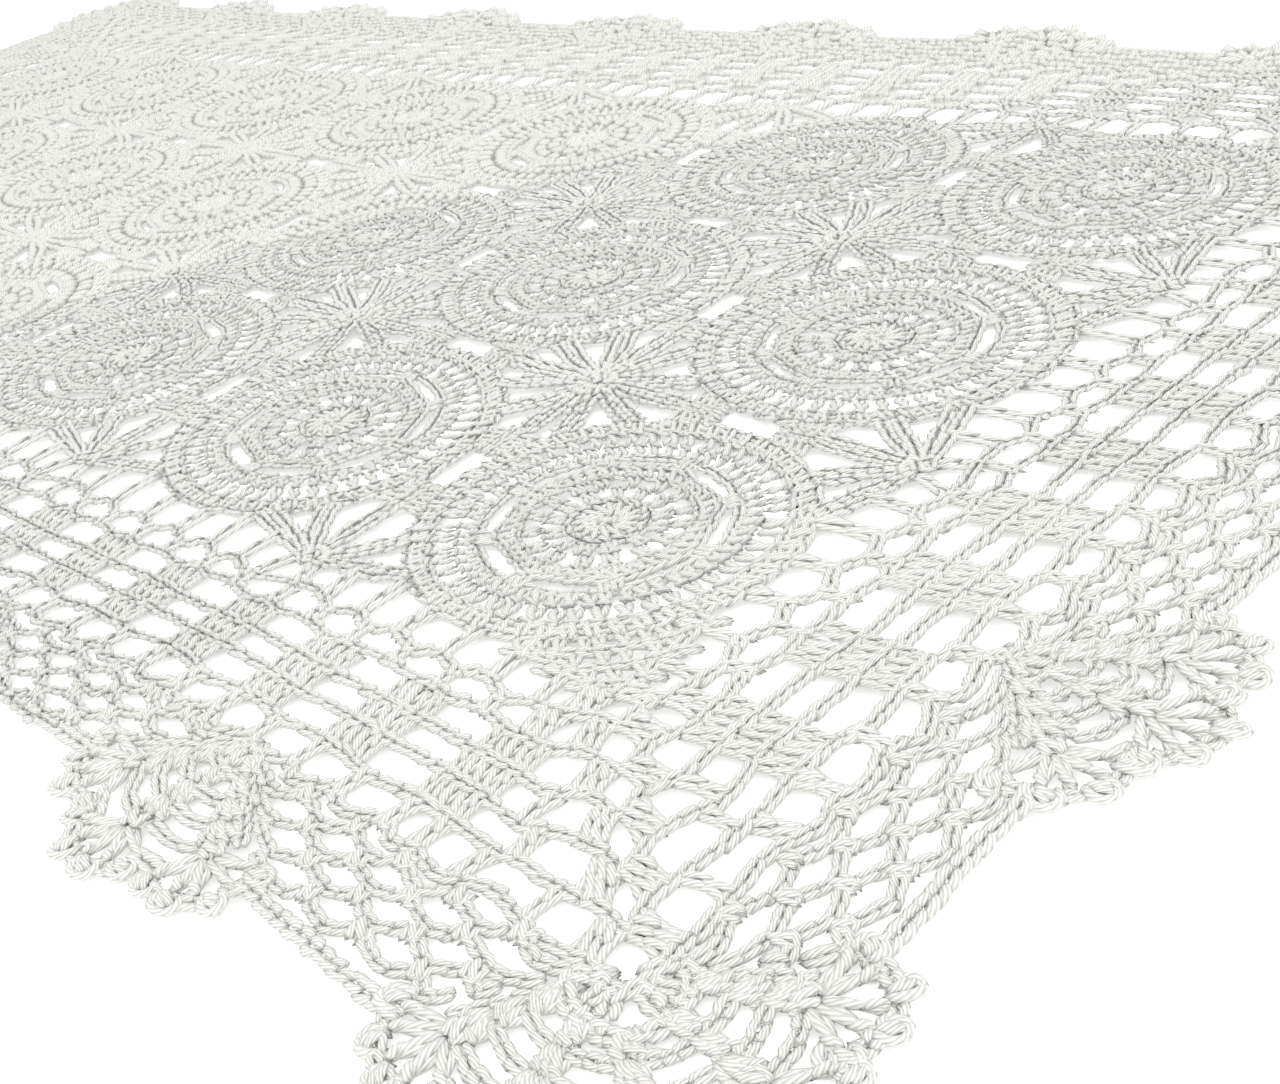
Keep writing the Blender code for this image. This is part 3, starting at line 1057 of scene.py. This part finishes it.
cornerNet = {
    # half of each line, from where the side's rows end to the corner's diagonal
    "lines": (
        ((0.20, 0.459), (0.30, 0.465), (0.40, 0.470), (0.475, 0.475)),
        ((0.36, 0.573), (0.42, 0.567), (0.46, 0.550), (0.50, 0.540), (0.545, 0.545)),
        ((0.43, 0.655), (0.47, 0.664), (0.50, 0.648), (0.54, 0.627), (0.59, 0.632), (0.635, 0.635)),
        ((0.49, 0.737), (0.54, 0.743), (0.585, 0.738), (0.62, 0.717), (0.66, 0.714), (0.72, 0.722)),
        ((0.49, 0.815), (0.55, 0.826), (0.60, 0.832), (0.65, 0.815), (0.72, 0.800), (0.77, 0.806),
         (0.822, 0.822)),
        ((0.49, 0.893), (0.60, 0.902), (0.66, 0.902), (0.72, 0.903), (0.78, 0.898), (0.85, 0.896),
         (0.92, 0.917)),
        ((0.49, 0.985), (0.56, 0.999), (0.61, 0.987), (0.67, 0.974), (0.74, 0.989), (0.81, 1.002),
         (0.90, 0.998), (1.0, 1.0)),
    ),
    "width": 0.92,
    "shake": 0.0025,
    "feet": (0.020, 0.044),  # of the pillars nearest the diagonal, back from it
    "tops": (0.088, 0.114),
    "posts": (
        # row, way along the side at its foot and top
        (0, 0.345, 0.345),
        (1, 0.400, 0.400),
        (3, 0.590, 0.580),
        (4, 0.630, 0.640),
        (5, 0.480, 0.475),
        (5, 0.605, 0.590),
        (5, 0.765, 0.755),
    ),
    "fill": (
        # foot radius, top radius, first and last degrees, posts
        (0.460, 0.518, 23.0, 67.0, 10),
        (0.512, 0.576, 32.0, 58.0, 6),
        (0.570, 0.635, 40.0, 50.0, 3),
    ),
    "fillSway": 0.5,
    "fillEdge": (0.004, 3.0, 7),  # how far in from the tops it lies, degrees past the posts, and points
    "fillWidth": 0.9,
    "covered": 0.60,
}


def cornerFill(lace):
    # short rows of posts that fill the space between the last medallion and the corner's first line
    back, past, points = cornerNet["fillEdge"]
    for low, top, start, stop, count in cornerNet["fill"]:
        turns = np.linspace(start, stop, count) + random.normal(0, cornerNet["fillSway"], count)
        lace.posts(polar(low, turns), polar(top, turns), 1.0, net["lift"])
        edge = polar(top - back, np.linspace(start - past, stop + past, points))
        lace.cord(edge, cornerNet["fillWidth"], net["lift"])


def cornerPillars(lace, lines):
    # posts of the open net between the corner's lines, the same on both sides of the diagonal
    def on(k, along):
        return along, np.interp(along, lines[k][:, 0], lines[k][:, 1])

    for k in range(len(lines) - 1):
        bend, outer = lines[k][-1, 0], lines[k + 1][-1, 0]
        feet = [on(k, bend - back) for back in cornerNet["feet"]]
        tops = [on(k + 1, outer - back) for back in cornerNet["tops"]]
        feet += [on(k, foot) for row, foot, _ in cornerNet["posts"] if row == k]
        tops += [on(k + 1, top) for row, _, top in cornerNet["posts"] if row == k]
        feet, tops = np.array(feet), np.array(tops)
        lace.single("pillar", feet, tops, net["pillarWidth"])
        lace.single("pillar", feet[:, ::-1], tops[:, ::-1], net["pillarWidth"])


def cornerFan(lace):
    fan = fans["corner"]
    apex = np.full(2, fan["apex"])
    outer = np.array(fan["cellsEnd"])
    lace.cord(polar(outer[:, 1], outer[:, 0], apex), fan["cordWidth"], net["lift"])
    for turn in fan["cords"]:
        reach = np.array((fan["cordFrom"], np.interp(turn, outer[:, 0], outer[:, 1])))
        turned = np.full(2, turn + random.normal(0, fan["cordSway"]))
        lace.cord(polar(reach, turned, apex), fan["cordWidth"], net["lift"])
    fanLace(lace, apex, fan, fan["ribs"])


def makeCorner(number, side):
    place = onSide(side)
    lace = Lace(lambda points: place(np.asarray(points) + (side[3] - 1, 0)))
    lines = [np.array(line) for line in cornerNet["lines"]]
    for line in lines:
        whole = np.vstack([line, line[-2::-1, ::-1]])
        wave = random.normal(0, cornerNet["shake"], whole.shape)
        wave[[0, -1]] = 0
        lace.cord(whole + wave, cornerNet["width"], net["lift"])
    cornerFill(lace)
    cornerPillars(lace, lines)
    cornerFan(lace)
    finished(f"lace_corner_{number}", lace, "border")


for row in range(plan["rows"]):
    for column in range(plan["columns"]):
        makeMedallion(column, row)
        if row < lastRow and column < lastColumn:
            makeStar(column, row)
print("scene: medallions and stars")
for number, side in enumerate(sides):
    makeSide(number, side)
    makeCorner(number, side)
print("scene: border")


# Floor, light and camera
stage = {
    "floor": (0.93, 0.93, 0.925, 1.0),
    "floorRoughness": 0.9,
    "floorGlow": 0.4,
    "size": 6.0,
    "sky": (1.0, 1.0, 1.0, 1.0),
    "skyPower": 1.08,
    "lights": (
        # place, aimed at, size, watts
        ((-0.7, -0.9, 1.9), (0.0, 0.0, 0.0), 2.0, 27.0),
        ((1.5, 0.8, 1.6), (0.0, 0.0, 0.0), 1.6, 4.0),
    ),
}


def makeFloor():
    shape = bmesh.new()
    bmesh.ops.create_grid(shape, x_segments=1, y_segments=1, size=stage["size"] / 2)
    mesh = bpy.data.meshes.new("floor")
    shape.to_mesh(mesh)
    shape.free()
    tree = Tree("pale-floor")
    look = {
        "Base Color": stage["floor"],
        "Roughness": stage["floorRoughness"],
        "Emission Color": stage["floor"],
        "Emission Strength": stage["floorGlow"],
    }
    tree.feed(tree.shader, look)
    mesh.materials.append(tree.material)
    floor = bpy.data.objects.new("floor", mesh)
    bpy.context.scene.collection.objects.link(floor)


def makeLights():
    world = bpy.data.worlds.new("studio")
    world.use_nodes = True
    sky = world.node_tree.nodes["Background"]
    sky.inputs["Color"].default_value = stage["sky"]
    sky.inputs["Strength"].default_value = stage["skyPower"]
    bpy.context.scene.world = world
    for number, (place, aim, size, watts) in enumerate(stage["lights"]):
        lamp = bpy.data.lights.new(f"studio-{number}", "AREA")
        lamp.size = size
        lamp.energy = watts
        made = bpy.data.objects.new(lamp.name, lamp)
        made.location = place
        made.rotation_mode = "QUATERNION"
        made.rotation_quaternion = (Vector(aim) - Vector(place)).to_track_quat("-Z", "Y")
        bpy.context.scene.collection.objects.link(made)


def makeCamera():
    seen = bpy.data.cameras.new("camera")
    seen.lens = view["lens"]
    seen.shift_x = view["shift"]
    seen.clip_start = view["nearest"]
    camera = bpy.data.objects.new("camera", seen)
    right, up = Vector(view["right"]), Vector(view["up"])
    turned = Matrix((right, up, right.cross(up))).transposed()
    camera.matrix_world = Matrix.Translation(view["place"]) @ turned.to_4x4()
    bpy.context.scene.collection.objects.link(camera)
    bpy.context.scene.camera = camera


makeFloor()
makeLights()
makeCamera()
bpy.context.scene.view_settings.view_transform = "Standard"
print("scene: floor, lights and camera")
shown = [piece for piece in bpy.data.objects if piece.name.startswith("lace_")]
print("scene:", sum(len(piece.data.polygons) for piece in shown), "triangles in", len(shown), "pieces")
print("scene: most in one", max((len(piece.data.polygons), piece.name) for piece in shown))
